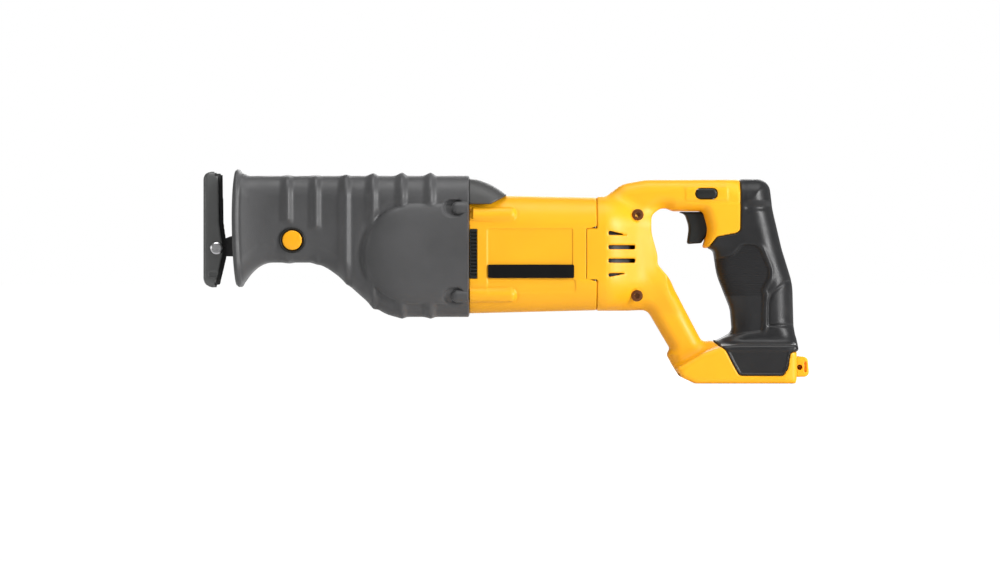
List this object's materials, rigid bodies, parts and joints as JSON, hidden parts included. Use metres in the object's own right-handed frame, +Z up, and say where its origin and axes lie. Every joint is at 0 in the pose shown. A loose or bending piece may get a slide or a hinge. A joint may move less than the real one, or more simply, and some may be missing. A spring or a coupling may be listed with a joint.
{
  "type": "cordless reciprocating saw",
  "caption": "Cordless reciprocating saw with a D-shaped rear handle, tilting front shoe, lever blade clamp, crank-driven plunger and a slide-on battery foot, without battery.",
  "frame": {"origin": "mouth of the blade clamp, on the stroke axis and the tool's mid plane, at mid stroke", "axes": "-X along the stroke towards the blade and the shoe, +X towards the handle, +Z up (handle above the battery foot), Y across the tool"},
  "size_m": [0.3737, 0.076, 0.1322],
  "materials": {
    "cast_alloy": "cast, satin",
    "dark_rubber": "moulded, fine matt grain",
    "dark_plastic": "moulded, satin",
    "housing_plastic": "moulded, fine spark texture",
    "shaft_steel": "ground",
    "blackened_steel": "black oxide and paint, semi-gloss",
    "bearing_steel": "ground",
    "bushing_bronze": "machined",
    "seal_rubber": "moulded",
    "screw_steel": "passivated",
    "spring_steel": "drawn wire",
    "motor_steel": "zinc plated",
    "copper": "enamelled copper",
    "carbon": "pressed carbon",
    "lead_insulation": "extruded, smooth",
    "badge_film": "printed film"
  },
  "bodies": {
    "housing": {"gearcase": "cast_alloy", "gearcase_cover": "cast_alloy", "end_bell": "cast_alloy", "nose_boot": "dark_rubber", "grip_cover_left": "dark_rubber", "grip_cover_right": "dark_rubber", "rear_fairing": "dark_plastic", "vent_grilles": "dark_plastic", "switch": "dark_plastic", "terminal_block": "dark_plastic", "motor_housing": "housing_plastic", "handle_left": "housing_plastic", "handle_right": "housing_plastic", "hook_lug": "housing_plastic", "crank_bearing": "bearing_steel", "pinion_bearing": "bearing_steel", "rear_bearing": "bearing_steel", "front_bushing": "bushing_bronze", "rear_bushing": "bushing_bronze", "crank_bush": "bushing_bronze", "contact_blades": "bushing_bronze", "brush_holders": "bushing_bronze", "plunger_seal": "seal_rubber", "gearcase_screws": "screw_steel", "housing_screws": "screw_steel", "handle_screws": "screw_steel", "trigger_spring": "spring_steel", "brush_springs": "spring_steel", "stator_can": "motor_steel", "magnets": "motor_steel", "carbon_brushes": "carbon", "motor_leads": "lead_insulation", "battery_leads": "lead_insulation", "badge_left": "badge_film", "badge_right": "badge_film"},
    "shoe_post": {"shoe_post": "blackened_steel"},
    "shoe": {"shoe": "blackened_steel", "shoe_pivot": "shaft_steel"},
    "shoe_button": {"shoe_button": "housing_plastic", "button_latch": "shaft_steel", "button_spring": "spring_steel"},
    "plunger": {"plunger": "shaft_steel", "yoke": "shaft_steel", "clamp_body": "blackened_steel", "blade_pin": "shaft_steel", "clamp_ring": "shaft_steel", "clamp_spring": "spring_steel"},
    "clamp_collar": {"clamp_collar": "blackened_steel"},
    "crank_roller": {"crank_roller": "shaft_steel"},
    "crank": {"crank_gear": "shaft_steel", "crank_shaft": "shaft_steel", "crank_pin": "shaft_steel"},
    "armature": {"armature_shaft": "shaft_steel", "pinion": "shaft_steel", "armature_core": "motor_steel", "windings": "copper", "commutator": "copper", "fan": "dark_plastic"},
    "trigger": {"trigger": "dark_plastic"},
    "lock_off_button": {"lock_off_button": "dark_plastic"}
  },
  "joints": [
    {"name": "post_slide", "type": "slide", "parent": "housing", "child": "shoe_post", "axis": [-1, 0, 0], "range_m": [0, 0.03]},
    {"name": "shoe_tilt", "type": "hinge", "parent": "shoe_post", "child": "shoe", "pos_m": [-0.0258, 0, -0.0176], "axis": [0, 1, 0], "range_deg": [-14, 6]},
    {"name": "shoe_button_press", "type": "slide", "parent": "housing", "child": "shoe_button", "axis": [0, 1, 0], "range_m": [0, 0.0025], "stiffness_N_per_m": 1200, "springref_m": -0.003, "deforming": ["button_spring"]},
    {"name": "plunger_stroke", "type": "slide", "parent": "housing", "child": "plunger", "axis": [1, 0, 0], "range_m": [-0.0143, 0.0143]},
    {"name": "collar_turn", "type": "hinge", "parent": "plunger", "child": "clamp_collar", "pos_m": [0, 0, 0], "axis": [1, 0, 0], "range_deg": [0, 40], "stiffness_Nm_per_rad": 0.12, "springref_deg": -34.38},
    {"name": "roller_slide", "type": "slide", "parent": "plunger", "child": "crank_roller", "axis": [0, 0, 1], "range_m": [-0.0286, 0]},
    {"name": "armature_spin", "type": "hinge", "parent": "housing", "child": "armature", "pos_m": [0.16, 0, -0.0215], "axis": [1, 0, 0], "continuous": true},
    {"name": "crank_spin", "type": "hinge", "parent": "housing", "child": "crank", "pos_m": [0.0953, 0, -0.0215], "axis": [0, 1, 0], "continuous": true},
    {"name": "trigger_pull", "type": "slide", "parent": "housing", "child": "trigger", "axis": [1, 0, 0], "range_m": [0, 0.0065], "stiffness_N_per_m": 900, "springref_m": -0.003, "deforming": ["trigger_spring"]},
    {"name": "lock_off_push", "type": "slide", "parent": "housing", "child": "lock_off_button", "axis": [0, 1, 0], "range_m": [0, 0.0036]}
  ],
  "couplings": [
    {"joint": "crank_spin", "follows": "armature_spin", "ratio": 0.2}
  ]
}
